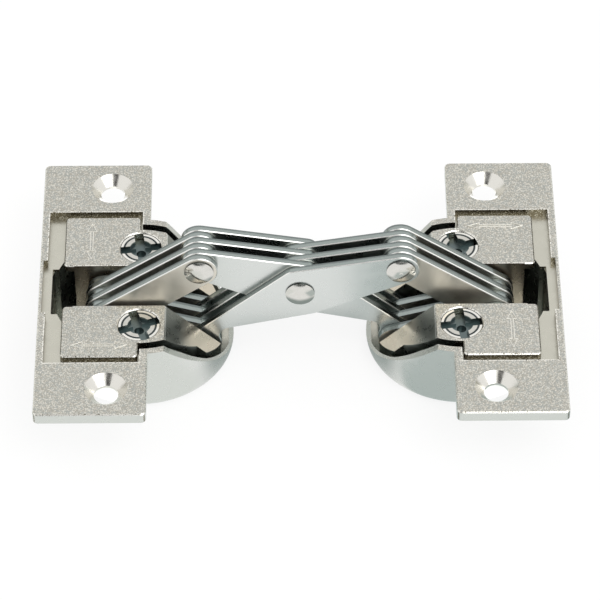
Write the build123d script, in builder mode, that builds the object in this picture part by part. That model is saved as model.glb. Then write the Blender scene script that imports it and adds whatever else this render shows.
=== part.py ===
from build123d import *
import os
from math import asin, cos, degrees, hypot, radians, sin, sqrt, tan

# Mitre cabinet hinge: two die-cast cup housings joined by interleaved steel levers.
# X runs across the hinge, Y along its pivots, and Z out of the two panel faces.
# The hinge lies flat, open at 90 degrees, with its cup undersides at Z = 0.
# Everything below is drawn for the left half, and the right half is the same
# set turned half a turn about Z. Depths are measured down from the flange face.

# Cup housing
cup_offset = 30.0            # hinge centre to cup centre
cup_diameter = 35.0
cup_depth = 14.8             # flange face to cup underside
cup_wall = 1.3
cup_floor = 1.7
cup_edge_radius = 2.0
rim_wall = 0.5               # cup wall beside the carrier's lugs
nose_offset = 2.6            # cavity's round end about the lugs, inward of the cup centre
rim_flat_wall = 0.9          # cup wall in front of the levers
flange_length = 65.0
flange_overhang = 1.1        # flange beyond the outer side of the cup
flange_inset = 1.9           # flange's inner edge beyond the cup centre
flange_thickness = 2.2
flange_corner_radius = 1.0
flange_edge_chamfer = 0.25
screw_spacing = 52.0
screw_offset = 5.5           # outboard of the cup centre
screw_radius = 2.25
screw_head_radius = 3.95
screw_head_angle = 90.0

# Carrier, which slides in a pocket of the housing
pocket_depth = 1.5
pocket_margin = 1.4          # flange left outside the pocket
pocket_side_gap = 1.4        # pocket to carrier plate, front and back
pocket_inner_gap = 0.3
slide_gap = 0.1              # pocket floor to carrier plate, and cup floor to carrier
side_travel = 1.2            # carrier outward from the place shown
height_travel = 1.1          # carrier each way along the pivots
travel_gap = 0.3             # left between carrier and housing at the end of a travel
plate_length = 14.2          # carrier plate along X
plate_inner_offset = 0.1     # plate's inner end beyond the cup centre, inwards
plate_half_span = 18.1       # carrier plates along Y, from the middle
plate_corner_radius = 0.8
plate_edge_chamfer = 0.2
slot_gap = 0.7               # lever stack to cheek
cheek_inset = 5.3            # cheeks' outer end, inside the cup's outer side
web_reach = 4.0              # web's inner end outward of the cup centre
web_gap = 0.9                # short link's end to web
lug_half_width = 10.0        # lugs along Y, from the middle
lug_inset = 1.5              # lugs' outline inside the cup's outer side
margin_notch = 0.8           # relief in the flange's outer margin
margin_notch_length = 13.4
relief_gap = 0.6             # relief beside the carrier's slot
relief_inset = 0.9           # pocket floor left outside the relief

# Lever plates
plate_pitch = 1.5            # one lever layer
layer_gap = 0.06             # running gap between layers
layer_count = 6
lever_edge_chamfer = 0.15
pivot_radius = 1.5
bore_gap = 0.04
arm_x = 17.9                 # inner pivot to centre pivot
arm_z = 13.1
knuckle_x = 18.6             # centre pivot to knuckle pivot
knuckle_rise = 5.7
mitre_gap = 0.19             # lever ends to the mitre plane
mitre_recess = 0.9           # castings to the mitre plane
groove_floor = 0.55          # cup floor left under the lever ends
groove_gap = 0.25
knuckle_end_radius = 3.4
outer_end_radius = 3.6
base_outer_radius = 3.3
lever_top_slope = 10.3       # degrees, long lever's edges to the flange face
lever_arm_slope = 42.0
lever_under_slope = 25.0
lever_belly_slope = 13.3
lever_belly_x = 2.6          # lowest point under the centre pivot
lever_corner_radius = 2.2
lever_belly_radius = 3.0
lever_neck_radius = 2.0

# Rivets and pins
rivet_head_radius = 2.7
rivet_head_height = 0.9
rivet_rim_height = 0.25
pin_recess = 0.3

# Adjusting cams
cam_offset = 0.2             # inward of the cup centre
cam_y = 10.0
cam_throw = 1.35             # eccentric pin from the cam's axis
cam_head_radius = 3.8
cam_head_gap = 0.1
cam_seat_chamfer = 0.2       # rim of the carrier's counterbore
cam_head_height = 1.9
cam_head_recess = 0.25
cam_shank_radius = 2.5
cam_pin_radius = 1.3
cam_pin_gap = 0.12
cam_rivet_radius = 2.1
cam_rivet_height = 0.6
cam_rivet_gap = 0.2
cam_recess_depth = 0.8       # recess in the cup underside
cam_floor_gap = 0.15         # riveted end above the cup underside
cross_width = 1.75           # slots across the head
cross_depth = 1.5
cross_bore_radius = 2.15     # bore that the slots meet in
cross_bore_depth = 0.9
cross_centre_radius = 0.9
cross_centre_depth = 2.6
side_cross_angle = 20.0      # degrees, recess of each cam as shown
height_cross_angle = 8.0

# Guide block that keeps the carrier square
guide_length = 6.0
guide_width = 2.5
guide_tongue = 0.85          # into the cup floor
guide_head = 1.1             # into the carrier
guide_gap = 0.08
guide_offset = 8.0           # outward of the cup centre
guide_floor_gap = 0.05

# Places on the left half
cup_x = -cup_offset
cup_radius = cup_diameter / 2
cavity_radius = cup_radius - cup_wall
cheek_reach = cup_radius - cheek_inset
lug_radius = cup_radius - lug_inset
lug_corner = sqrt(lug_radius**2 - lug_half_width**2)
nose_radius = hypot(lug_corner - nose_offset, lug_half_width + height_travel) + travel_gap
flange_outer_x = cup_x - cup_radius - flange_overhang
flange_inner_x = cup_x + flange_inset
pocket_outer_x = flange_outer_x + pocket_margin
plate_inner_x = cup_x + plate_inner_offset
plate_outer_x = plate_inner_x - plate_length
pocket_inner_x = plate_inner_x + pocket_inner_gap
pocket_half_span = plate_half_span + pocket_side_gap
floor_depth = cup_depth - cup_floor
carrier_depth = floor_depth - slide_gap
carrier_radius = cavity_radius - height_travel - travel_gap - slide_gap
layer_thickness = plate_pitch - layer_gap
stack_half = layer_count * plate_pitch / 2
slot_width = 2 * (stack_half + slot_gap)
bore_radius = pivot_radius + bore_gap
groove_width = 2 * (stack_half + height_travel + travel_gap)
cam_x = cup_x + cam_offset
side_turn = degrees(asin(side_travel / 2 / cam_throw))
height_turn = degrees(asin(height_travel / cam_throw))
guide_x = cup_x - guide_offset

# Pivots as (X, Z). The mitre plane runs at 45 degrees through the point that
# the hinge turns about, which lies as far under the inner pivots as the centre
# pivot lies above them. The lever ends reach as near to that plane as they may.
inner_end_radius = (arm_x - arm_z) / sqrt(2) - mitre_gap
inner_depth = cup_depth - groove_floor - groove_gap - inner_end_radius
inner_pivot = (-arm_x, cup_depth - inner_depth)
outer_pivot = (inner_pivot[0] - knuckle_x, inner_pivot[1] + knuckle_rise)
centre_pivot = (0.0, inner_pivot[1] + arm_z)
knuckle_pivot = (-knuckle_x, centre_pivot[1] + knuckle_rise)
far_knuckle = (knuckle_x, knuckle_pivot[1])
groove_reach = 2 * inner_end_radius + side_travel
turning_depth = inner_depth + arm_z
mitre_face_x = -turning_depth - mitre_recess * sqrt(2)
mitre_face = Plane(origin=(mitre_face_x, 0, cup_depth), z_dir=(1, 0, 1))
web_depth = cup_depth - outer_pivot[1] + outer_end_radius + web_gap


def level(depth):
    """Plane parallel to the flange face, at a depth under it."""
    return Plane.XY.offset(cup_depth - depth)


def layer_plane(layer):
    """Middle plane of a lever layer, counted from the front."""
    middle = (layer - 0.5) * plate_pitch - stack_half
    return Plane.XZ.offset(-middle)


def cam_pin_place(y, angle):
    """Centre of a cam's eccentric pin, for the angle that the throw points to."""
    return cam_x + cam_throw * cos(radians(angle)), y + cam_throw * sin(radians(angle))


# Throw of each cam at rest. The side cam stands at one end of its travel and
# the height cam in the middle of it.
side_pin_angle = 90 + side_turn
height_pin_angle = 0.0
side_pin = cam_pin_place(-cam_y, side_pin_angle)
height_pin = cam_pin_place(cam_y, height_pin_angle)
side_swing = cam_throw * (1 - cos(radians(side_turn)))
height_swing = cam_throw * (1 - cos(radians(height_turn)))

# Housing: flange, cup, carrier pocket and screw holes in one casting
with BuildPart() as housing:
    with BuildSketch(level(0)):
        with Locations(((flange_outer_x + flange_inner_x) / 2, 0)):
            RectangleRounded(flange_inner_x - flange_outer_x, flange_length, flange_corner_radius)
    extrude(amount=-flange_thickness)
    chamfer(housing.edges().group_by(Axis.Z)[-1], flange_edge_chamfer)
    with BuildSketch(level(0)):
        with Locations((cup_x, 0)):
            Circle(cup_radius)
    extrude(amount=-cup_depth)
    fillet(housing.edges().group_by(Axis.Z)[0], cup_edge_radius)
    # Cavity, with a wall that thins towards the lugs and a flat in front of the levers
    with BuildSketch(level(0)):
        with Locations((cup_x, 0)):
            Circle(cavity_radius)
    extrude(amount=-floor_depth, mode=Mode.SUBTRACT)
    with BuildSketch(level(0)):
        with Locations((cup_x + nose_offset, 0)):
            Circle(nose_radius)
        with Locations((cup_x, 0)):
            Circle(cup_radius - rim_wall, mode=Mode.INTERSECT)
        with Locations((cup_x + cup_radius - rim_flat_wall, 0)):
            Rectangle(cup_radius, slot_width, align=(Align.MIN, Align.CENTER), mode=Mode.SUBTRACT)
    extrude(amount=-floor_depth, mode=Mode.SUBTRACT)
    # Pocket that the carrier plates slide in
    with BuildSketch(level(0)):
        with Locations((pocket_outer_x, 0)):
            Rectangle(pocket_inner_x - pocket_outer_x, 2 * pocket_half_span, align=(Align.MIN, Align.CENTER))
            Rectangle(2 * margin_notch, margin_notch_length)
    extrude(amount=-pocket_depth, mode=Mode.SUBTRACT)
    # Relief for the short links, square in the flange and then inside the cup wall
    with BuildSketch(level(0)) as relief:
        with Locations((pocket_outer_x + relief_inset, 0)):
            Rectangle(cup_radius, slot_width + 2 * relief_gap, align=(Align.MIN, Align.CENTER))
    extrude(amount=-flange_thickness, mode=Mode.SUBTRACT)
    with BuildSketch(level(0)):
        add(relief.sketch_local)
        with Locations((cup_x, 0)):
            Circle(cup_radius - rim_wall, mode=Mode.INTERSECT)
    extrude(amount=-floor_depth, mode=Mode.SUBTRACT)
    # Groove in the cup floor under the lever ends
    with BuildSketch(level(floor_depth)):
        with Locations((inner_pivot[0] - groove_reach, 0)):
            Rectangle(groove_reach + inner_end_radius, groove_width, align=(Align.MIN, Align.CENTER))
    extrude(amount=-(cup_floor - groove_floor), mode=Mode.SUBTRACT)
    # Guide groove along X
    with BuildSketch(level(floor_depth)):
        with Locations((guide_x - side_travel / 2, 0)):
            Rectangle(guide_length + side_travel + 2 * travel_gap, guide_width + 2 * guide_gap)
    extrude(amount=-(guide_tongue + guide_gap), mode=Mode.SUBTRACT)
    # Slots for the cams' pins, and the recesses of their riveted ends
    for pin_size, depth, start in (
        (cam_pin_radius + cam_pin_gap, cup_floor, floor_depth),
        (cam_rivet_radius + cam_rivet_gap, cam_recess_depth, cup_depth - cam_recess_depth),
    ):
        with BuildSketch(level(start)):
            with Locations((side_pin[0], side_pin[1] + side_swing / 2)):
                SlotCenterToCenter(2 * height_travel + side_swing, 2 * pin_size, rotation=90)
            with Locations((height_pin[0] - (side_travel + height_swing) / 2, height_pin[1])):
                SlotCenterToCenter(side_travel + height_swing, 2 * pin_size)
        extrude(amount=-depth, mode=Mode.SUBTRACT)
    with Locations((cup_x - screw_offset, 0, cup_depth)):
        with GridLocations(0, screw_spacing, 1, 2):
            CounterSinkHole(screw_radius, screw_head_radius, counter_sink_angle=screw_head_angle)
    split(bisect_by=mitre_face, keep=Keep.BOTTOM)

# Carrier: two plates on the pocket floor, two cheeks in the cup and a low web
with BuildPart() as carrier:
    with BuildSketch(level(0)):
        with Locations(((plate_outer_x + plate_inner_x) / 2, 0)):
            with GridLocations(0, plate_half_span + slot_width / 2, 1, 2):
                RectangleRounded(plate_length, plate_half_span - slot_width / 2, plate_corner_radius)
    extrude(amount=-(pocket_depth - slide_gap))
    chamfer(carrier.edges().group_by(Axis.Z)[-1], plate_edge_chamfer)
    with BuildSketch(level(0)):
        with Locations((cup_x, 0)):
            Circle(carrier_radius)
        with Locations((cup_x + side_travel, 0)):
            Circle(carrier_radius, mode=Mode.INTERSECT)
        with Locations((cup_x - cheek_reach, 0)):
            Rectangle(cup_diameter, cup_diameter, align=(Align.MIN, Align.CENTER), mode=Mode.INTERSECT)
    extrude(amount=-carrier_depth)
    with BuildSketch(level(0)):
        with Locations((cup_x, 0)):
            Circle(lug_radius)
            Rectangle(
                cup_diameter, 2 * lug_half_width, align=(Align.MIN, Align.CENTER), mode=Mode.INTERSECT
            )
    extrude(amount=-carrier_depth)
    # Slot for the levers, with the web left low at its outer end
    with BuildSketch(level(0)):
        with Locations((cup_x, 0)):
            Rectangle(2 * cup_diameter, slot_width)
    extrude(amount=-web_depth, mode=Mode.SUBTRACT)
    with BuildSketch(level(0)):
        with Locations((cup_x - web_reach, 0)):
            Rectangle(cup_diameter, slot_width, align=(Align.MIN, Align.CENTER))
    extrude(amount=-cup_depth, mode=Mode.SUBTRACT)
    split(bisect_by=mitre_face, keep=Keep.BOTTOM)
    # Guide groove along Y
    with BuildSketch(level(carrier_depth)):
        with Locations((guide_x, 0)):
            Rectangle(guide_width + 2 * guide_gap, guide_length + 2 * (height_travel + travel_gap))
    extrude(amount=guide_head + guide_gap, mode=Mode.SUBTRACT)
    with BuildSketch(Plane.XZ):
        with Locations(inner_pivot, outer_pivot):
            Circle(bore_radius)
    extrude(amount=cup_diameter, both=True, mode=Mode.SUBTRACT)
    with Locations((cam_x, -cam_y, cup_depth), (cam_x, cam_y, cup_depth)):
        CounterBoreHole(
            cam_shank_radius + bore_gap,
            cam_head_radius + cam_head_gap,
            cam_head_recess + cam_head_height + cam_head_gap,
        )
    for seat_y in (-cam_y, cam_y):
        face_edges = carrier.edges().group_by(Axis.Z)[-1]
        chamfer(face_edges.sort_by_distance((cam_x, seat_y, cup_depth))[0], cam_seat_chamfer)

# Guide block: a tongue along X in the cup floor and a head along Y in the carrier
with BuildPart() as guide_block:
    with BuildSketch(level(floor_depth - guide_floor_gap)):
        with Locations((guide_x, 0)):
            Rectangle(guide_length, guide_width)
    extrude(amount=-guide_tongue)
    with BuildSketch(level(floor_depth - guide_floor_gap)):
        with Locations((guide_x, 0)):
            Rectangle(guide_width, guide_length)
    extrude(amount=guide_head)


def build_cam(y, pin, cross_angle):
    """Cam with a crossed recess, a shank and a riveted eccentric pin."""
    shank_start = cam_head_recess + cam_head_height
    pin_start = floor_depth - slide_gap
    rivet_start = cup_depth - cam_floor_gap - cam_rivet_height
    with BuildPart() as cam:
        with BuildSketch(level(cam_head_recess)):
            with Locations((cam_x, y)):
                Circle(cam_head_radius)
        extrude(amount=-cam_head_height)
        with BuildSketch(level(shank_start)):
            with Locations((cam_x, y)):
                Circle(cam_shank_radius)
        extrude(amount=-(pin_start - shank_start))
        for radius, start, end in (
            (cam_pin_radius, pin_start, rivet_start),
            (cam_rivet_radius, rivet_start, rivet_start + cam_rivet_height),
        ):
            with BuildSketch(level(start)):
                with Locations(pin):
                    Circle(radius)
            extrude(amount=-(end - start))
        with BuildSketch(level(cam_head_recess)):
            with Locations((cam_x, y)):
                Rectangle(2 * cam_head_radius, cross_width, rotation=cross_angle)
                Rectangle(cross_width, 2 * cam_head_radius, rotation=cross_angle)
        extrude(amount=-cross_depth, mode=Mode.SUBTRACT)
        for radius, depth in (
            (cross_bore_radius, cross_bore_depth),
            (cross_centre_radius, cross_centre_depth),
        ):
            with BuildSketch(level(cam_head_recess)):
                with Locations((cam_x, y)):
                    Circle(radius)
            extrude(amount=-depth, mode=Mode.SUBTRACT)
    return cam


def build_rivet(pivot):
    """Rivet through all lever layers, with a low domed head at each end."""
    rim = stack_half + rivet_rim_height
    top = stack_half + rivet_head_height
    with BuildPart() as rivet:
        with BuildSketch(Plane(origin=(pivot[0], 0, pivot[1]))):
            with BuildLine():
                TangentArc((0, top), (rivet_head_radius, rim), tangent=(1, 0))
                Polyline(
                    (rivet_head_radius, rim),
                    (rivet_head_radius, stack_half),
                    (pivot_radius, stack_half),
                    (pivot_radius, -stack_half),
                    (rivet_head_radius, -stack_half),
                    (rivet_head_radius, -rim),
                )
                TangentArc((0, -top), (rivet_head_radius, -rim), tangent=(1, 0))
                Line((0, -top), (0, top))
            make_face()
        revolve(axis=Axis((pivot[0], 0, pivot[1]), (0, 1, 0)))
    return rivet


def build_pin(pivot, outline_x):
    """Plain pin across the cheeks, a little inside their round outline."""
    half_length = sqrt(carrier_radius**2 - (pivot[0] - outline_x) ** 2) - pin_recess
    with BuildPart() as pin:
        with BuildSketch(Plane.XZ):
            with Locations(pivot):
                Circle(pivot_radius)
        extrude(amount=half_length, both=True)
    return pin


def build_plate(outline, pivots, layer, edge_chamfer):
    """Steel plate in one layer, with a bore at each pivot."""
    with BuildPart() as plate:
        with BuildSketch(layer_plane(layer)):
            add(outline.sketch_local)
        extrude(amount=layer_thickness / 2, both=True)
        if edge_chamfer:
            layers = plate.edges().group_by(Axis.Y)
            chamfer(layers[0] + layers[-1], edge_chamfer)
        with BuildSketch(layer_plane(layer)):
            with Locations(*pivots):
                Circle(bore_radius)
        extrude(amount=layer_thickness, both=True, mode=Mode.SUBTRACT)
    return plate


# Straight outlines: the short link and the base plate fixed on the two pins
with BuildSketch(Plane.XZ) as short_link_outline:
    with Locations(outer_pivot):
        Circle(outer_end_radius)
    with Locations(knuckle_pivot):
        Circle(knuckle_end_radius)
    make_hull()

with BuildSketch(Plane.XZ) as base_plate_outline:
    with Locations(outer_pivot):
        Circle(base_outer_radius)
    with Locations(inner_pivot):
        Circle(inner_end_radius)
    make_hull()


def tangent_point(centre, radius, slope, side):
    """Point where an edge of the given slope touches an end, above it or below it."""
    return centre[0] - side * radius * sin(radians(slope)), centre[1] + side * radius * cos(radians(slope))


def meeting_point(first, first_slope, second, second_slope):
    """Point where two edges meet, each given by a point and a slope."""
    rise_a = tan(radians(first_slope))
    rise_b = tan(radians(second_slope))
    x = (second[1] - first[1] + rise_a * first[0] - rise_b * second[0]) / (rise_a - rise_b)
    return x, first[1] + rise_a * (x - first[0])


# Long lever: from the left inner pivot, over the centre pivot, to the right knuckle
knuckle_top = tangent_point(far_knuckle, knuckle_end_radius, lever_top_slope, 1)
knuckle_under = tangent_point(far_knuckle, knuckle_end_radius, lever_under_slope, -1)
arm_top = tangent_point(inner_pivot, inner_end_radius, lever_arm_slope, 1)
lever_corner = meeting_point(knuckle_top, lever_top_slope, arm_top, lever_arm_slope)
lever_belly = (
    lever_belly_x,
    knuckle_under[1] - (knuckle_under[0] - lever_belly_x) * tan(radians(lever_under_slope)),
)
arm_under = (
    inner_pivot[0],
    lever_belly[1] - (lever_belly[0] - inner_pivot[0]) * tan(radians(lever_belly_slope)),
)
with BuildSketch(Plane.XZ) as long_lever_outline:
    with BuildLine():
        Polyline(
            arm_top,
            lever_corner,
            knuckle_top,
            knuckle_under,
            lever_belly,
            arm_under,
            inner_pivot,
            close=True,
        )
    make_face()
    with Locations(far_knuckle):
        Circle(knuckle_end_radius)
    with Locations(inner_pivot):
        Circle(inner_end_radius)

neck_x = inner_pivot[0] + inner_end_radius
fillet_radii = {
    lever_corner: lever_corner_radius,
    lever_belly: lever_belly_radius,
    (neck_x, arm_under[1]): lever_neck_radius,
}
with BuildSketch(Plane.XZ) as rounded_lever_outline:
    add(long_lever_outline.sketch_local)
    for place, radius in fillet_radii.items():
        fillet(rounded_lever_outline.vertices().sort_by_distance((place[0], place[1], 0))[0], radius)

pieces = {
    "housing": housing,
    "carrier": carrier,
    "guide_block": guide_block,
    "side_cam": build_cam(-cam_y, side_pin, side_cross_angle),
    "height_cam": build_cam(cam_y, height_pin, height_cross_angle),
    "inner_pin": build_pin(inner_pivot, cup_x),
    "outer_pin": build_pin(outer_pivot, cup_x + side_travel),
    "knuckle_rivet": build_rivet(knuckle_pivot),
}
for number, front_layer in enumerate(range(1, layer_count, 2), start=1):
    pieces[f"short_link_{number}"] = build_plate(
        short_link_outline, (outer_pivot, knuckle_pivot), front_layer, lever_edge_chamfer
    )
    pieces[f"base_plate_{number}"] = build_plate(
        base_plate_outline, (outer_pivot, inner_pivot), front_layer + 1, 0
    )
    pieces[f"long_lever_{number}"] = build_plate(
        rounded_lever_outline, (inner_pivot, centre_pivot, far_knuckle), front_layer, lever_edge_chamfer
    )

os.makedirs("parts", exist_ok=True)
for side, turn in (("left", 0), ("right", 180)):
    for name, piece in pieces.items():
        with BuildPart() as placed:
            add(piece.part, rotation=(0, 0, turn))
        placed.part.label = f"{name}_{side}"
        export_step(placed.part, f"parts/{placed.part.label}.step")

centre_rivet = build_rivet(centre_pivot)
centre_rivet.part.label = "centre_rivet"
export_step(centre_rivet.part, "parts/centre_rivet.step")
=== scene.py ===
"""Finishes, cast marks, light and camera of the mitre cabinet hinge.

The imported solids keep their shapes. This script gives each of them the finish of the
real piece, adds the adjustment arrows cast into the carriers, and sets up a pale floor,
soft light and a camera at the viewing angle of the photograph. Lengths are in metres,
and in millimetres where a name ends in mm.
"""
import logging
import math
from dataclasses import dataclass
from enum import Enum

import bpy
import numpy as np
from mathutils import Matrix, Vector


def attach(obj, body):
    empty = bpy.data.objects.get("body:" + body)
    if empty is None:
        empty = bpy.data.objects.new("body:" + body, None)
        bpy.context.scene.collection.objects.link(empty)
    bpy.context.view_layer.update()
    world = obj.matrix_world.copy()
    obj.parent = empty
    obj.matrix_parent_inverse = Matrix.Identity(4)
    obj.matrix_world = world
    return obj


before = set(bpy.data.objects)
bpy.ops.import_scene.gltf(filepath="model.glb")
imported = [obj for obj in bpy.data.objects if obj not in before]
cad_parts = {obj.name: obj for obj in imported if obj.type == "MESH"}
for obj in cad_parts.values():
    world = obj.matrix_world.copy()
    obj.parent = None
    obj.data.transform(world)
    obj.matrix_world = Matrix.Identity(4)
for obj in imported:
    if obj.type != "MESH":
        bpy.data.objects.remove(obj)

LOG = logging.getLogger("mitre_hinge")
MM = 0.001
HOUSING_MM = np.array(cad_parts["housing_right"].bound_box).max(axis=0) / MM
FLANGE_SIDE_MM, FLANGE_END_MM, FACE_LEVEL_MM = (float(size) for size in HOUSING_MM)  # far corner of a flange
SLANT = (0.3, 0.9)                   # share of the normal along an axis, on a face at a slant to it
NOISE_SPAN = (0.3, 0.7)              # values between which most of a noise lies


def linear(code: str) -> tuple[float, float, float, float]:
    """Turns an sRGB hex colour into Blender's linear colour.

    Args:
        code: colour such as "#C8C5BE".

    Returns:
        Red, green, blue and an alpha of 1.
    """
    parts = np.array([int(code[i:i + 2], 16) for i in (1, 3, 5)]) / 255
    values = np.where(parts <= 0.04045, parts / 12.92, ((parts + 0.055) / 1.055) ** 2.4)
    return (*(float(v) for v in values), 1.0)


def add_node(tree: bpy.types.NodeTree, kind: str, inputs: dict | None = None,
             **settings: str | float) -> bpy.types.Node:
    """Adds one node with its settings and links.

    Args:
        tree: node tree that the node joins.
        kind: Blender's name of the node type.
        inputs: input name or number to its value, or to the output or field that feeds it.
        settings: the node's own settings.

    Returns:
        The new node.
    """
    node = tree.nodes.new(kind)
    for name, value in settings.items():
        setattr(node, name, value)
    for key, value in (inputs or {}).items():
        source = value.output if isinstance(value, Field) else value
        if isinstance(source, bpy.types.NodeSocket):
            tree.links.new(source, node.inputs[key])
        else:
            node.inputs[key].default_value = source
    return node


class Field:
    """A value that varies over a surface, kept as the output of a node.

    Signs work on it as on a number, and each adds the node that works it out. A comparison
    gives a mask, 1 where it holds and 0 elsewhere. The sign * joins masks where all of them
    hold, | where any does, and ~ turns a mask round.
    """

    def __init__(self, node: bpy.types.Node, output: int | str = 0) -> None:
        """Keeps one output of a node.

        Args:
            node: the node.
            output: number or name of its output.
        """
        self.output = node.outputs[output]
        self.tree = node.id_data

    def __add__(self, other: "Field | float") -> "Field":
        """Adds a number or another field."""
        return Field(add_node(self.tree, "ShaderNodeMath", {0: self, 1: other}, operation="ADD"))

    def __sub__(self, other: "Field | float") -> "Field":
        """Takes away a number or another field."""
        return Field(add_node(self.tree, "ShaderNodeMath", {0: self, 1: other}, operation="SUBTRACT"))

    def __mul__(self, other: "Field | float") -> "Field":
        """Multiplies by a number or another field."""
        return Field(add_node(self.tree, "ShaderNodeMath", {0: self, 1: other}, operation="MULTIPLY"))

    def __truediv__(self, other: "Field | float") -> "Field":
        """Divides by a number or another field."""
        return Field(add_node(self.tree, "ShaderNodeMath", {0: self, 1: other}, operation="DIVIDE"))

    def __gt__(self, other: "Field | float") -> "Field":
        """Mask of where this is above a number or another field."""
        return Field(add_node(self.tree, "ShaderNodeMath", {0: self, 1: other}, operation="GREATER_THAN"))

    def __lt__(self, other: "Field | float") -> "Field":
        """Mask of where this is below a number or another field."""
        return Field(add_node(self.tree, "ShaderNodeMath", {0: self, 1: other}, operation="LESS_THAN"))

    def __or__(self, other: "Field") -> "Field":
        """Mask of where this one or another holds."""
        return Field(add_node(self.tree, "ShaderNodeMath", {0: self, 1: other}, operation="MAXIMUM"))

    def __invert__(self) -> "Field":
        """Mask of where this one doesn't hold."""
        return Field(add_node(self.tree, "ShaderNodeMath", {0: 1.0, 1: self}, operation="SUBTRACT"))

    def __abs__(self) -> "Field":
        """Size without its sign."""
        return Field(add_node(self.tree, "ShaderNodeMath", {0: self}, operation="ABSOLUTE"))

    def within(self, low: float, high: float) -> "Field":
        """Mask of where this lies between two numbers."""
        return (self > low) * (self < high)

    def span(self, low: float, high: float) -> "Field":
        """Stretches 0 to 1 evenly to low to high."""
        return self * (high - low) + low

    def fade(self, start: float, end: float, low: float = 0.0, high: float = 1.0) -> "Field":
        """Passes smoothly from one number to another.

        Args:
            start: value of this field up to which the result is low.
            end: value from which it is high.
            low: result at the start.
            high: result at the end.

        Returns:
            The result.
        """
        limits = {"From Min": start, "From Max": end, "To Min": low, "To Max": high}
        return Field(add_node(self.tree, "ShaderNodeMapRange", {"Value": self, **limits},
                              interpolation_type="SMOOTHSTEP"))

    def replaced(self, mask: "Field", other: "Field | float") -> "Field":
        """Keeps this number where a mask is 0, and takes another where the mask is 1."""
        return self * ~mask + mask * other


def coated(base: Field | str, *coats: tuple[Field, Field | str]) -> Field:
    """Lays coats of colour over a base, each as far as its mask reaches.

    Args:
        base: colour of what lies under all coats, as a hex code or a field.
        coats: mask and colour of each coat, from the lowest to the uppermost.

    Returns:
        The colour that shows.
    """
    shown = base
    for mask, coat in coats:
        under, over = (linear(tone) if isinstance(tone, str) else tone for tone in (shown, coat))
        shown = Field(add_node(mask.tree, "ShaderNodeMix", {0: mask, 6: under, 7: over}, data_type="RGBA"), 2)
    return shown


class Surface:
    """Node tree of one metal, with the places and patterns that its look depends on."""

    def __init__(self, name: str) -> None:
        """Starts a material with object coordinates and the object's own normals.

        Args:
            name: the real finish's name.
        """
        self.material = bpy.data.materials.new(name)
        self.material.use_nodes = True
        self.tree = self.material.node_tree
        self.tree.nodes.clear()
        self.source = add_node(self.tree, "ShaderNodeTexCoord")
        place = add_node(self.tree, "ShaderNodeSeparateXYZ", {0: self.source.outputs["Object"]})
        facing = add_node(self.tree, "ShaderNodeSeparateXYZ", {0: self.source.outputs["Normal"]})
        self.x_mm, self.y_mm, self.z_mm = (Field(place, axis) / MM for axis in "XYZ")
        self.along_pivots, self.up = Field(facing, "Y"), Field(facing, "Z")

    def offset_from(self, x_mm: float, y_mm: float) -> tuple[Field, Field, Field]:
        """Measures from the upright lines at (+-x, +-y), all folded into one quarter.

        Args:
            x_mm: distance of the lines from the middle, across the hinge.
            y_mm: distance of the lines from the middle, along the pivots.

        Returns:
            Offset along X, offset along Y and distance, in mm.
        """
        across, along = abs(self.x_mm) - x_mm, abs(self.y_mm) - y_mm
        squares = across * across + along * along
        return across, along, Field(add_node(self.tree, "ShaderNodeMath", {0: squares}, operation="SQRT"))

    def patches(self, size_mm: float, detail: float = 2.0,
                stretch: tuple[float, float, float] = (1.0, 1.0, 1.0)) -> Field:
        """Draws uneven patches of a real size.

        Args:
            size_mm: width of one patch or line.
            detail: number of finer layers.
            stretch: factor on each coordinate, under 1 where the patches are drawn out.

        Returns:
            A value from 0 to 1.
        """
        place = add_node(self.tree, "ShaderNodeMapping",
                         {"Vector": self.source.outputs["Object"], "Scale": stretch})
        return Field(add_node(
            self.tree, "ShaderNodeTexNoise",
            {"Vector": place.outputs["Vector"], "Scale": 1 / (size_mm * MM), "Detail": detail}))

    def finished(self, colour: Field, roughness: Field, height: Field, depth_mm: float,
                 normal: Field | None = None) -> bpy.types.Material:
        """Ends the tree with a metal shader.

        Args:
            colour: the metal's colour.
            roughness: its roughness.
            height: relief of the surface, 0 to 1.
            depth_mm: real depth of that relief.
            normal: world normal to use in place of the mesh's own.

        Returns:
            The finished material.
        """
        under = {} if normal is None else {"Normal": normal}
        bump = Field(add_node(self.tree, "ShaderNodeBump",
                              {"Strength": 1.0, "Distance": depth_mm * MM, "Height": height, **under}))
        shader = add_node(self.tree, "ShaderNodeBsdfPrincipled",
                          {"Metallic": 1.0, "Base Color": colour, "Roughness": roughness, "Normal": bump})
        add_node(self.tree, "ShaderNodeOutputMaterial", {"Surface": shader.outputs[0]})
        return self.material


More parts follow.
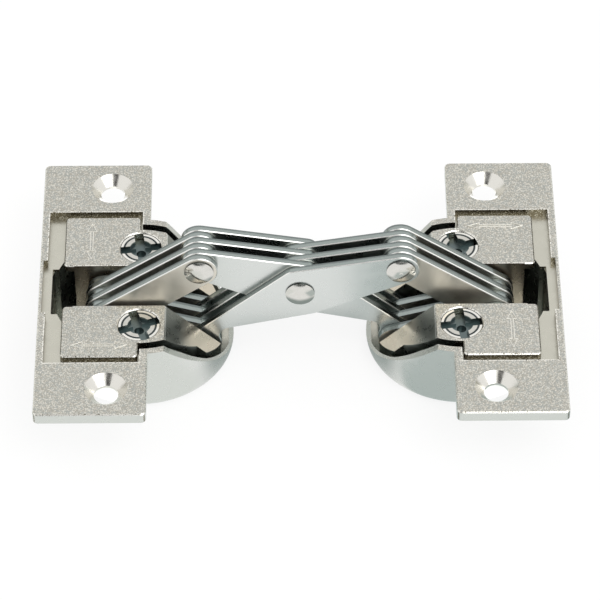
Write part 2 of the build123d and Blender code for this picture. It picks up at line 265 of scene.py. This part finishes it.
@dataclass(frozen=True)
class CastZinc:
    """Die-cast zinc alloy, blasted and nickel plated: satin, warm grey, with a sparkling grain.

    The grain shows on the top faces, and their edges carry a painted highlight: bright points
    on the dark colour of the walls. The cup's outside and the ledges come out of the die
    smoother. Walls inside the pocket and the cup, and the carrier's cheeks beside the levers,
    are coloured darker as painted shade. The countersinks are cut, so they are bright.
    """

    name: str = "nickel_plated_cast_zinc"
    light: str = "#E4E1D7"           # bright points of the grain
    dark: str = "#AFACA2"            # ground between them
    cool: str = "#ABADA8"            # the same in cooler patches
    ledge: str = "#C8C6BA"           # floors of the pockets
    cup: str = "#DADCD8"             # outside of the cups and sides of the flanges
    wall: str = "#77705F"            # walls of the pockets, coloured dark brown as painted shade
    inner: str = "#989F99"           # inside of the cups, painted shade
    cheek: str = "#A59F94"           # carrier's cheeks beside the levers, painted shade from the levers and plates
    slope: str = "#8E918B"           # mitred faces of the carriers
    nose: str = "#E9DFCD"            # and their worn noses
    lip: str = "#D3D5CF"             # mitred rims of the cups
    edge: str = "#F0EEE6"            # painted highlight on the edges
    mark: str = "#EAE8E0"            # raised arrows, coloured lighter as a painted highlight
    cut: str = "#E3E1DA"             # countersinks
    grain_mm: float = 0.24           # blasted grain, drawn as coarse as a pixel and a half
    grain_bright: tuple[float, float] = (0.43, 0.68)  # span of the grain over which it brightens
    wall_bright: tuple[float, float] = (0.5, 0.7)     # the same on the walls
    edge_bright: tuple[float, float] = (0.38, 0.46)   # and in the painted edge highlight
    chroma_mm: float = 0.5           # patches of thicker and thinner plate
    chroma_cool: tuple[float, float] = (0.4, 0.6)
    mottle_mm: float = 1.6
    relief_mm: float = 0.035
    grain_slant: tuple[float, float] = (0.9, 0.98)    # upward share of the normal where the grain begins
    smooth_relief: float = 0.04      # share of the relief away from the grain
    cut_relief: float = 0.1          # and in the countersinks
    smooth_rough: tuple[float, float] = (0.26, 0.34)
    grain_rough: tuple[float, float] = (0.34, 0.5)
    cut_rough: tuple[float, float] = (0.17, 0.22)
    edge_rough: float = 0.25
    face_band_mm: float = 0.35       # depth under the face over which the grain ends
    margin_mm: float = 0.05          # keeps a limit off the faces and corners that it sorts
    mark_foot_mm: float = 0.02       # height over the face at which the arrows begin
    highlight_band_mm: float = 0.22            # width of the painted highlight round the pocket and along the slot's edge
    pocket_x_mm: tuple[float, float] = (29.6, 47.2)
    pocket_span_mm: float = 19.5
    nose_x_mm: tuple[float, float] = (23.0, 19.5)  # the slope is worn towards its nose
    slot_half_mm: float = 5.2        # carrier's slot for the levers, from the middle
    ledge_level_mm: float = 13.2     # just under the pocket's floor
    flange_under_mm: float = 12.7
    flange_inner_mm: float = 28.3    # between the inner end of the carrier plates and the cheeks
    side_mm: float = 0.2             # the flange's own sides lie within this of its far corner
    cup_x_mm: float = 30.0
    cup_inside_mm: float = 17.2
    lip_mm: float = 16.3
    screw_mm: tuple[float, float] = (35.5, 26.0)
    countersink_mm: float = 4.1

    def within_pocket(self, metal: Surface, margin_mm: float) -> Field:
        """Masks the pocket's outline set off outwards.

        Args:
            metal: the surface.
            margin_mm: how far the outline is set off.

        Returns:
            1 inside the outline.
        """
        inner, outer = self.pocket_x_mm
        across = abs(metal.x_mm).within(inner - margin_mm, outer + margin_mm)
        return across * (abs(metal.y_mm) < self.pocket_span_mm + margin_mm)

    def faces(self, metal: Surface) -> dict[str, Field]:
        """Sorts the casting's faces by place and direction.

        Args:
            metal: the surface.

        Returns:
            A mask for each kind of face that has a coat of its own, by the coat's name, and
            for the mitred rims of the cups and the cones of the countersinks.
        """
        z, up = metal.z_mm, metal.up
        out, along = abs(metal.x_mm), abs(metal.y_mm)
        band_mm = FACE_LEVEL_MM - self.face_band_mm
        level = z.fade(band_mm, FACE_LEVEL_MM - self.margin_mm)
        slanted, upright = up.within(*SLANT), abs(up) < SLANT[0]
        grained = level * up.fade(*self.grain_slant)
        on_flange = out.within(self.flange_inner_mm, FLANGE_SIDE_MM - self.side_mm)
        on_flange = on_flange * (along < FLANGE_END_MM - self.side_mm)
        slot = along < self.slot_half_mm + self.margin_mm
        from_cup = metal.offset_from(self.cup_x_mm, 0.0)[2]
        below = (z < self.ledge_level_mm) | (out < self.flange_inner_mm)
        # Bands round the pocket and along the slot's edge, which get a painted highlight.
        pocket_rim = grained * self.within_pocket(metal, self.highlight_band_mm) * ~self.within_pocket(metal, -self.margin_mm)
        slot_rim = metal.y_mm.within(self.slot_half_mm - self.margin_mm, self.slot_half_mm + self.highlight_band_mm)
        cut = (metal.offset_from(*self.screw_mm)[2] < self.countersink_mm) * (up < SLANT[1])
        return {
            "ledge": (up > SLANT[1]) * (level < 0.5),
            # Inside of the cups, cheeks and pocket walls: faces that get painted shade.
            "inner": upright * below * (from_cup < self.cup_inside_mm),
            "cheek": upright * on_flange * slot,
            "slope": slanted * (z < band_mm) * (out < self.flange_inner_mm),
            "lip": from_cup > self.lip_mm,
            "wall": upright * on_flange * ~slot * (z > self.flange_under_mm),
            "grained": grained,
            # Chamfers at the face's level and both bands: painted highlight, bright points on the wall
            # colour.
            "edge_highlight": level * slanted | pocket_rim | grained * on_flange * slot_rim,
            "cut": cut,
            "cone": cut * (up > SLANT[0]),
            "mark": z > FACE_LEVEL_MM + self.mark_foot_mm,
        }

    def colour(self, metal: Surface, on: dict[str, Field], grain: Field) -> Field:
        """Gives each kind of face its coat.

        Args:
            metal: the surface.
            on: masks of the faces.
            grain: the blasted grain.

        Returns:
            The casting's colour.
        """
        nose = abs(metal.x_mm).fade(*self.nose_x_mm)
        cool = metal.patches(self.chroma_mm).fade(*self.chroma_cool)
        speck = grain.fade(*self.grain_bright)
        return coated(
            self.cup,
            (on["ledge"], self.ledge),
            # The inner, cheek and wall coats are painted shade; the edge coat is a painted highlight.
            (on["inner"], self.inner),
            (on["cheek"], self.cheek),
            (on["slope"], coated(self.slope, (nose, self.nose), (on["lip"], self.lip))),
            (on["wall"], coated(self.wall, (grain.fade(*self.wall_bright), self.light))),
            (on["grained"], coated(self.dark, (cool, self.cool), (speck, self.light))),
            (on["edge_highlight"], coated(self.wall, (grain.fade(*self.edge_bright), self.edge))),
            (on["cut"], self.cut),
            (on["mark"], self.mark))

    def roughness(self, metal: Surface, on: dict[str, Field], grain: Field) -> Field:
        """Makes the grain rougher, and the edge bands with the painted highlight, the arrows and cut faces
        smoother.

        Args:
            metal: the surface.
            on: masks of the faces.
            grain: the blasted grain.

        Returns:
            The casting's roughness.
        """
        mottle = metal.patches(self.mottle_mm, detail=1.0)
        rough = mottle.fade(*NOISE_SPAN, *self.smooth_rough)
        rough = rough.replaced(on["grained"], grain.fade(*NOISE_SPAN, *self.grain_rough))
        rough = rough.replaced(on["edge_highlight"] | on["mark"], self.edge_rough)
        return rough.replaced(on["cut"], mottle.fade(*NOISE_SPAN, *self.cut_rough))

    def normal(self, metal: Surface, cone: Field) -> Field:
        """Rounds the countersinks' cones, which the mesh only has in facets.

        A cone's normal leans half inwards to the screw's axis and half upwards.

        Args:
            metal: the surface.
            cone: mask of the cones.

        Returns:
            World normals, the mesh's own elsewhere.
        """
        across, along, radius = metal.offset_from(*self.screw_mm)
        inward = []
        for offset, place in ((across, metal.x_mm), (along, metal.y_mm)):
            side = Field(add_node(metal.tree, "ShaderNodeMath", {0: place}, operation="SIGN"))
            inward.append(side * (offset * -math.sqrt(0.5) / radius))
        lean = add_node(metal.tree, "ShaderNodeCombineXYZ", {0: inward[0], 1: inward[1], 2: math.sqrt(0.5)})
        round_cone = add_node(metal.tree, "ShaderNodeVectorTransform", {0: lean.outputs[0]},
                              vector_type="NORMAL", convert_from="OBJECT", convert_to="WORLD")
        own = add_node(metal.tree, "ShaderNodeNewGeometry").outputs["Normal"]
        return Field(add_node(metal.tree, "ShaderNodeMix", {0: cone, 4: own, 5: round_cone.outputs[0]},
                              data_type="VECTOR"), 1)

    def build(self) -> bpy.types.Material:
        """Casts, blasts and plates the material.

        Returns:
            The material.
        """
        metal = Surface(self.name)
        on = self.faces(metal)
        grain = metal.patches(self.grain_mm, detail=3.0)
        relief = grain * (on["grained"] | on["wall"]).span(self.smooth_relief, 1.0)
        relief = relief * on["cut"].span(1.0, self.cut_relief)
        return metal.finished(self.colour(metal, on, grain), self.roughness(metal, on, grain), relief,
                              self.relief_mm, self.normal(metal, on["cone"]))


@dataclass(frozen=True)
class StripSteel:
    """Cold-rolled steel strip, stamped and nickel plated: even cool satin faces.

    Rear faces inside the stack are coloured dark as painted shade for the gaps between the
    plates. The stamped edges are a greyer band, burnished on the punch side and torn on the
    other, between two corners coloured bright as a painted highlight.
    """

    name: str
    face: str
    face_shade: str
    face_rough: tuple[float, float]
    edge: str = "#9DA5A2"
    torn: str = "#7B8381"
    # painted highlight on the two corners of each stamped edge
    corner_highlight: str = "#F4F4F0"
    # painted shade on the rear faces inside the stack, for the dark gaps between the plates
    gap_shade: str = "#5C6765"
    edge_rough: tuple[float, float] = (0.22, 0.36)
    corner_rough: float = 0.3
    corner_slant: tuple[float, float] = (0.35, 0.92)  # share of a corner's normal along the pivots
    mottle_mm: float = 2.5
    line_mm: float = 0.16            # sheared lines, drawn coarser than real to show
    line_stretch: float = 0.06       # draws the lines out across the strip's thickness
    pitch_mm: float = 1.5
    stack_mm: float = 4.5            # half of the stack of levers
    stack_end_mm: float = 2.8        # plates behind this one show their rear faces
    torn_from: float = 0.62          # share of the thickness that is burnished
    torn_fade: float = 0.06
    relief_mm: float = 0.008
    face_relief: float = 0.1         # share of the relief on the faces

    def build(self) -> bpy.types.Material:
        """Tells faces, corners and edges of the strips apart, and gives each its own coat.

        Returns:
            The material.
        """
        metal = Surface(self.name)
        sideways = abs(metal.along_pivots)
        flat, corner_highlight = sideways > self.corner_slant[1], sideways.within(*self.corner_slant)
        # rear faces inside the stack, which take the painted gap shade
        rear = (metal.along_pivots > self.corner_slant[1]) * (metal.y_mm < self.stack_end_mm)
        layer = (metal.y_mm + self.stack_mm) / self.pitch_mm
        depth = Field(add_node(metal.tree, "ShaderNodeMath", {0: layer}, operation="FRACT"))
        lines = metal.patches(self.line_mm, stretch=(1.0, self.line_stretch, 1.0))
        mottle = metal.patches(self.mottle_mm)
        wander = depth + lines.fade(*NOISE_SPAN, -self.torn_fade, self.torn_fade)
        torn = wander.fade(self.torn_from - self.torn_fade, self.torn_from + self.torn_fade)
        colour = coated(
            self.edge,
            (torn, self.torn),
            (flat, coated(self.face_shade, (mottle, self.face))),
            (corner_highlight, self.corner_highlight),
            (rear, self.gap_shade))
        roughness = torn.fade(0.0, 1.0, *self.edge_rough)
        roughness = roughness.replaced(flat, mottle.fade(*NOISE_SPAN, *self.face_rough))
        roughness = roughness.replaced(corner_highlight, self.corner_rough)
        return metal.finished(colour, roughness, lines * flat.span(1.0, self.face_relief), self.relief_mm)


@dataclass(frozen=True)
class BrightSteel:
    """Turned and pressed steel with a bright nickel plate: smooth, with soft uneven patches."""

    name: str
    light: str
    shade: str
    rough: tuple[float, float]
    mottle_mm: float = 0.9
    relief_mm: float = 0.006

    def details(self, metal: Surface, colour: Field, roughness: Field) -> tuple[Field, Field]:
        """Changes the plain plate where the piece has features of its own.

        Args:
            metal: the surface.
            colour: the plain plate's colour.
            roughness: its roughness.

        Returns:
            Colour and roughness with those features.
        """
        return colour, roughness

    def build(self) -> bpy.types.Material:
        """Plates the steel and adds the piece's own features.

        Returns:
            The material.
        """
        metal = Surface(self.name)
        mottle = metal.patches(self.mottle_mm, detail=3.0)
        plain = coated(self.shade, (mottle, self.light)), mottle.fade(*NOISE_SPAN, *self.rough)
        return metal.finished(*self.details(metal, *plain), mottle, self.relief_mm)


@dataclass(frozen=True)
class RivetSteel(BrightSteel):
    """Bright rivets and pins, whose upright rims get a painted shade, as they lie shaded between the strips.
    """

    # painted shade on the upright rims
    rim_shade: str = "#4B504E"
    rim_slant: float = 0.5           # share of the normal along the pivots under which the rim begins

    def details(self, metal: Surface, colour: Field, roughness: Field) -> tuple[Field, Field]:
        """Paints shade on the rim and keeps the roughness."""
        return coated(colour, (abs(metal.along_pivots) < self.rim_slant, self.rim_shade)), roughness


@dataclass(frozen=True)
class CamSteel(BrightSteel):
    """Bright cam heads with a bright outer ring, a ring of painted shadow just inside it for the gap round
    the head, and a rougher crossed recess coloured dark as painted shade.
    """

    # painted shade in the crossed recess
    recess_shade: str = "#6A7575"
    recess_rough: float = 0.3
    ring: str = "#EDEBE4"
    # painted shadow in a ring near the head's edge, for the gap round the head
    gap_shadow: str = "#4A5050"
    recess_z_mm: tuple[float, float] = (11.6, 14.25)
    axis_mm: tuple[float, float] = (29.8, 10.0)
    gap_shadow_mm: tuple[float, float] = (2.95, 3.35)

    def details(self, metal: Surface, colour: Field, roughness: Field) -> tuple[Field, Field]:
        """Paints the shadow ring, the bright ring and the shade in the recess.

        Args:
            metal: the surface.
            colour: the plain plate's colour.
            roughness: its roughness.

        Returns:
            Colour and roughness with the head's features.
        """
        deep = metal.z_mm.within(*self.recess_z_mm)
        radius = metal.offset_from(*self.axis_mm)[2]
        gap_shadow, ring = (radius > limit for limit in self.gap_shadow_mm)
        # painted shadow ring, bright ring and painted shade in the recess
        colour = coated(colour, (gap_shadow, self.gap_shadow), (ring, self.ring), (deep, self.recess_shade))
        return colour, roughness.replaced(deep, self.recess_rough)


class Finish(Enum):
    """Finishes of the hinge's pieces."""

    CASTING = CastZinc()
    LEVER = StripSteel("nickel_plated_strip_steel", "#DFE2DF", "#D6D9D6", (0.26, 0.32))
    LINK = StripSteel("nickel_plated_link_steel", "#E8E3D8", "#DDD8CD", (0.36, 0.42))
    RIVET = RivetSteel("bright_nickel_on_rivet_steel", "#E0DFDA", "#D6D4CE", (0.1, 0.16))
    CAM = CamSteel("bright_nickel_on_cam_steel", "#DAD8D1", "#C3C1B9", (0.12, 0.2))


NODE_FINISHES = {
    "housing": Finish.CASTING, "carrier": Finish.CASTING, "guide_block": Finish.CASTING,
    "side_cam": Finish.CAM, "height_cam": Finish.CAM,
    "inner_pin": Finish.RIVET, "outer_pin": Finish.RIVET,
    "knuckle_rivet": Finish.RIVET, "centre_rivet": Finish.RIVET,
    "short_link": Finish.LINK, "base_plate": Finish.LINK, "long_lever": Finish.LEVER,
}


class Dresser:
    """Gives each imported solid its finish, with one material shared by all pieces of a finish."""

    def __init__(self) -> None:
        """Builds one material for each finish."""
        self.materials = {finish: finish.value.build() for finish in Finish}

    def dress(self, name: str, piece: bpy.types.Object) -> None:
        """Puts the finish that belongs to a node's name into its material slots.

        Args:
            name: the node's name.
            piece: its object.
        """
        finish = next(f for start, f in NODE_FINISHES.items() if name.startswith(start))
        for slot in piece.material_slots:
            slot.material = self.materials[finish]
        LOG.info("dressed %s as %s", name, self.materials[finish].name)


class Direction(Enum):
    """Direction in which an adjustment arrow points, as its unit vector along the plate."""

    ALONG_PIVOTS = (0.0, 1.0)
    ACROSS = (1.0, 0.0)


@dataclass
class AdjustmentArrow:
    """Thin raised outline of a double-headed arrow, cast on a carrier plate."""

    name: str
    body: str
    centre_mm: tuple[float, float]
    direction: Direction
    length_mm: float
    head_length_mm: float = 2.1
    head_width_mm: float = 1.7
    shaft_width_mm: float = 0.5
    line_width_mm: float = 0.22
    line_height_mm: float = 0.13
    sunk_mm: float = 0.02
    profile_points: int = 5
    sharpest: float = 0.35           # cosine past which a corner's mitre grows no longer

    def outline(self) -> np.ndarray:
        """Corner points of the arrow's outline, counter-clockwise, in mm.

        Returns:
            Array of shape (10, 2): tip, head corner and shaft corner of each end, mirrored
            about the arrow's middle and about its axis.
        """
        half, neck = self.length_mm / 2, self.length_mm / 2 - self.head_length_mm
        quarter = np.array([(half, 0.0), (neck, self.head_width_mm / 2), (neck, self.shaft_width_mm / 2)])
        upper = np.vstack((quarter, quarter[::-1] * (-1, 1)))
        loop = np.vstack((upper, upper[1:-1][::-1] * (1, -1)))
        along = np.array(self.direction.value)
        across = np.array((-along[1], along[0]))
        return loop[:, :1] * along + loop[:, 1:] * across + np.array(self.centre_mm)

    def build(self, material: bpy.types.Material) -> None:
        """Carries a low rounded profile along the outline, with mitred corners.

        At each corner the profile lies along the half-way line of the two edges, so its
        width there is the line's width divided by the cosine of half the turn.

        Args:
            material: finish of the line.
        """
        points = self.outline()
        ahead = np.roll(points, -1, axis=0) - points
        ahead /= np.linalg.norm(ahead, axis=1, keepdims=True)
        behind = np.roll(ahead, 1, axis=0)
        middle = ahead + behind
        middle /= np.linalg.norm(middle, axis=1, keepdims=True)
        outward = np.stack((middle[:, 1], -middle[:, 0]), axis=1)
        widen = 1 / np.maximum(np.sum(middle * ahead, axis=1), self.sharpest)
        turn = np.linspace(0, np.pi, self.profile_points)
        side = np.concatenate((np.cos(turn), [-1.0, 1.0])) * self.line_width_mm / 2
        rise = np.concatenate((np.sin(turn) * self.line_height_mm, [-self.sunk_mm] * 2))
        flat = points[:, None, :] + outward[:, None, :] * (side[None, :] * widen[:, None])[:, :, None]
        height = np.broadcast_to(FACE_LEVEL_MM + rise, flat.shape[:2])[:, :, None]
        piece = closed_surface(self.name, np.concatenate((flat, height), axis=2) * MM)
        piece.data.materials.append(material)
        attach(piece, self.body)
        LOG.info("cast mark %s on %s", self.name, self.body)


def closed_surface(name: str, grid: np.ndarray) -> bpy.types.Object:
    """Joins a grid of points that closes on itself both ways into a mesh object.

    Args:
        name: name of the piece.
        grid: points of shape (rows, columns, 3), in metres.

    Returns:
        The object, at the origin, with its faces turned outwards.
    """
    rows, columns = grid.shape[:2]
    index = np.arange(rows * columns).reshape(rows, columns)
    right, down = np.roll(index, -1, axis=1), np.roll(index, -1, axis=0)
    faces = np.stack((index, right, np.roll(right, -1, axis=0), down), axis=2).reshape(-1, 4)
    corners = grid.reshape(-1, 3)[faces]
    volume = np.einsum("ij,ij->", np.cross(corners[:, 0], corners[:, 1]), corners[:, 2])
    mesh = bpy.data.meshes.new(name)
    mesh.from_pydata(grid.reshape(-1, 3).tolist(), [], (faces if volume > 0 else faces[:, ::-1]).tolist())
    mesh.validate()
    piece = bpy.data.objects.new(name, mesh)
    bpy.context.scene.collection.objects.link(piece)
    return piece


def adjustment_arrows() -> list[AdjustmentArrow]:
    """Lists the arrows of both carriers. The right half is the left one turned half round.

    Returns:
        The height arrow and the side arrow of each carrier.
    """
    arrows = []
    for side, turn in (("left", 1), ("right", -1)):
        for kind, x_mm, y_mm, direction, length_mm in (
            ("height_arrow", -39.1, 11.7, Direction.ALONG_PIVOTS, 9.3),
            ("side_arrow", -37.1, -15.2, Direction.ACROSS, 10.2),
        ):
            name, body, centre_mm = f"{kind}_{side}", f"carrier_{side}", (x_mm * turn, y_mm * turn)
            arrows.append(AdjustmentArrow(name, body, centre_mm, direction, length_mm))
    return arrows


@dataclass
class Sheet:
    """Flat sheet of the studio, which no export takes along."""

    name: str
    size: tuple[float, float]
    place: tuple[float, float, float] = (0.0, 0.0, 0.0)

    def spread(self) -> tuple[bpy.types.Object, bpy.types.NodeTree]:
        """Makes the sheet, level, with an empty material.

        Returns:
            The sheet and its material's node tree.
        """
        w, h = self.size[0] / 2, self.size[1] / 2
        mesh = bpy.data.meshes.new(self.name)
        mesh.from_pydata([(-w, -h, 0), (w, -h, 0), (w, h, 0), (-w, h, 0)], [], [(0, 1, 2, 3)])
        sheet = bpy.data.objects.new(self.name, mesh)
        sheet.location = self.place
        bpy.context.scene.collection.objects.link(sheet)
        material = bpy.data.materials.new(self.name)
        material.use_nodes = True
        material.node_tree.nodes.clear()
        mesh.materials.append(material)
        return sheet, material.node_tree


def only_in_reflections(sheet: bpy.types.Object, glow: bpy.types.Node) -> None:
    """Gives a sheet a glow that nothing but metal sees.

    Args:
        sheet: the sheet.
        glow: emission node of its material.
    """
    add_node(glow.id_data, "ShaderNodeOutputMaterial", {"Surface": glow.outputs[0]})
    sheet.visible_camera = sheet.visible_diffuse = sheet.visible_shadow = False


@dataclass
class Card(Sheet):
    """Card that stands facing the hinge and shows only in the metal."""

    colour: str = "#FFFFFF"

    def build(self) -> None:
        """Turns the card to the hinge and gives it its colour."""
        card, tree = self.spread()
        card.rotation_euler = (-Vector(self.place)).to_track_quat("Z", "Y").to_euler()
        only_in_reflections(card, add_node(tree, "ShaderNodeEmission", {"Color": linear(self.colour)}))


class Measure(Enum):
    """Measure on the floor by which a patch of painted reflection begins and ends."""

    X = "across the hinge"
    OUT = "out from the middle, either way"
    Y = "along the pivots"


@dataclass(frozen=True)
class Fade:
    """One limit of a patch of painted reflection: it starts at one place and is full at the other."""

    measure: Measure
    outside_mm: float
    inside_mm: float


CUP_FRONTS = Fade(Measure.Y, -13.5, -15.5)
CUP_MIDDLES = Fade(Measure.Y, -17.0, -9.0)


@dataclass
class FloorCard(Sheet):
    """Card on the floor that only metal sees, with grey patches of painted reflection in front
    of and between the cups.

    A patch has a colour and the fades that limit it.
    """

    # patches of painted reflection: grey that the cups mirror in front of and between them
    shade_patches: tuple[tuple[str, tuple[Fade, ...]], ...] = (
        ("#F4F6F4", (Fade(Measure.OUT, 12.0, 16.0), Fade(Measure.Y, -62.0, -52.0), CUP_FRONTS)),
        ("#C5CECD", (Fade(Measure.X, 8.0, 13.0), Fade(Measure.Y, -42.0, -36.0), CUP_FRONTS)),
        ("#98A3A1", (Fade(Measure.OUT, 21.0, 8.0), CUP_MIDDLES, Fade(Measure.Y, 40.0, 25.0))),
    )
    under_screws: tuple[Fade, ...] = (
        Fade(Measure.OUT, 29.0, 31.0), Fade(Measure.OUT, 42.0, 40.0), Fade(Measure.Y, -24.0, -22.0))
    screw_glow: float = 1.6          # glow under the front screws, seen through their holes

    def build(self) -> None:
        """Lays the card and paints its patches of painted reflection."""
        card, tree = self.spread()
        source = add_node(tree, "ShaderNodeTexCoord")
        axes = add_node(tree, "ShaderNodeSeparateXYZ", {0: source.outputs["Object"]})
        x_mm, y_mm = Field(axes, "X") / MM, Field(axes, "Y") / MM
        measures = {Measure.X: x_mm, Measure.OUT: abs(x_mm), Measure.Y: y_mm}
        tones = [(self.overlap(measures, fades), colour) for colour, fades in self.shade_patches]
        bright = self.overlap(measures, self.under_screws)
        tone = coated("#FFFFFF", *tones, (bright, "#FFFFFF"))
        glow = {"Color": tone, "Strength": bright.span(1.0, self.screw_glow)}
        only_in_reflections(card, add_node(tree, "ShaderNodeEmission", glow))

    def overlap(self, measures: dict[Measure, Field], fades: tuple[Fade, ...]) -> Field:
        """Masks what all the fades of a patch leave.

        Args:
            measures: the field of each measure, in mm.
            fades: the patch's limits.

        Returns:
            0 outside and 1 inside.
        """
        first, *others = (measures[fade.measure].fade(fade.outside_mm, fade.inside_mm) for fade in fades)
        for other in others:
            first = first * other
        return first


@dataclass
class Floor(Sheet):
    """Matt white floor under the cups, which camera and metal see nearly plain white."""

    colour: str = "#F6F6F5"
    glow: float = 0.8                # share that looks plain white to camera and metal

    def build(self) -> None:
        """Lays the floor."""
        _, tree = self.spread()
        path = add_node(tree, "ShaderNodeLightPath")
        seen = Field(path, "Is Camera Ray") | Field(path, "Is Glossy Ray")
        seen = seen | Field(path, "Is Transmission Ray")
        matt = add_node(tree, "ShaderNodeBsdfDiffuse", {"Color": linear(self.colour)})
        white = add_node(tree, "ShaderNodeEmission", {"Color": linear("#FFFFFF")})
        both = add_node(tree, "ShaderNodeMixShader",
                        {0: seen * self.glow, 1: matt.outputs[0], 2: white.outputs[0]})
        add_node(tree, "ShaderNodeOutputMaterial", {"Surface": both.outputs[0]})


@dataclass
class Studio:
    """White floor and surroundings, a large soft lamp and cards that only metal sees."""

    lamp_place: tuple[float, float, float] = (0.35, -0.45, 0.75)
    lamp_power: float = 3.0
    lamp_size: float = 0.7
    sheets: tuple[Sheet, ...] = (
        Floor("floor", (6.0, 6.0)),
        Card("back_card", (1.3, 0.24), (0.0, 1.0, 0.12), "#6E7674"),
        Card("corner_card_left", (0.6, 0.24), (-0.95, 0.8, 0.1), "#B9BAB2"),
        Card("corner_card_right", (0.6, 0.24), (0.95, 0.8, 0.1), "#B9BAB2"),
        Card("side_card_left", (0.42, 0.3), (-1.15, 0.33, 0.12), "#9D9B8E"),
        Card("side_card_right", (0.42, 0.3), (1.15, 0.33, 0.12), "#9D9B8E"),
        Card("camera_card", (0.52, 0.32), (-0.32, -0.83, 0.86), "#1D1B17"),
        Card("front_card", (2.0, 0.08), (0.0, -0.7, 0.04), "#3C4241"),
        FloorCard("floor_card", (0.6, 0.6), (0.0, 0.0, 0.00005)),
    )

    def build(self) -> None:
        """Builds the world, the lamp and the sheets."""
        self.build_world()
        self.build_lamp()
        for sheet in self.sheets:
            sheet.build()

    def build_world(self) -> None:
        """Surrounds the object with even white light."""
        world = bpy.data.worlds.new("white_surroundings")
        world.use_nodes = True
        world.node_tree.nodes.clear()
        light = add_node(world.node_tree, "ShaderNodeBackground", {"Color": linear("#FFFFFF")})
        add_node(world.node_tree, "ShaderNodeOutputWorld", {"Surface": light.outputs[0]})
        bpy.context.scene.world = world

    def build_lamp(self) -> None:
        """Hangs a square soft lamp that faces the hinge."""
        data = bpy.data.lights.new("soft_lamp", "AREA")
        data.energy, data.size = self.lamp_power, self.lamp_size
        lamp = bpy.data.objects.new("soft_lamp", data)
        lamp.location = self.lamp_place
        lamp.rotation_euler = (-Vector(self.lamp_place)).to_track_quat("-Z", "Y").to_euler()
        bpy.context.scene.collection.objects.link(lamp)


@dataclass
class ProductCamera:
    """Long lens that looks down at the hinge from the front."""

    elevation: float = 46.0
    yaw: float = -0.507
    distance: float = 0.697
    lens_mm: float = 224.5
    sensor_mm: float = 36.0
    sees: tuple[float, float] = (0.05, 20.0)
    target: tuple[float, float, float] = (0.0, -0.00225, 0.0130)

    def build(self) -> None:
        """Places the camera and makes it the scene's camera."""
        data = bpy.data.cameras.new("product_camera")
        data.lens, data.sensor_width = self.lens_mm, self.sensor_mm
        data.clip_start, data.clip_end = self.sees
        camera = bpy.data.objects.new("product_camera", data)
        rise, turn = math.radians(self.elevation), math.radians(self.yaw)
        back = Vector((math.cos(rise) * math.sin(turn), -math.cos(rise) * math.cos(turn), math.sin(rise)))
        camera.location = Vector(self.target) + back * self.distance
        camera.rotation_euler = (-back).to_track_quat("-Z", "Y").to_euler()
        bpy.context.scene.collection.objects.link(camera)
        bpy.context.scene.camera = camera


def main() -> None:
    """Dresses the hinge, adds its cast marks and sets up the studio."""
    logging.basicConfig(level=logging.INFO, format="%(name)s: %(message)s")
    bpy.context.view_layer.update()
    dresser = Dresser()
    for name, piece in sorted(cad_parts.items()):
        dresser.dress(name, piece)
    for arrow in adjustment_arrows():
        arrow.build(dresser.materials[Finish.CASTING])
    Studio().build()
    ProductCamera().build()
    bpy.context.scene.view_settings.view_transform = "Standard"


if __name__ == "__main__":
    main()
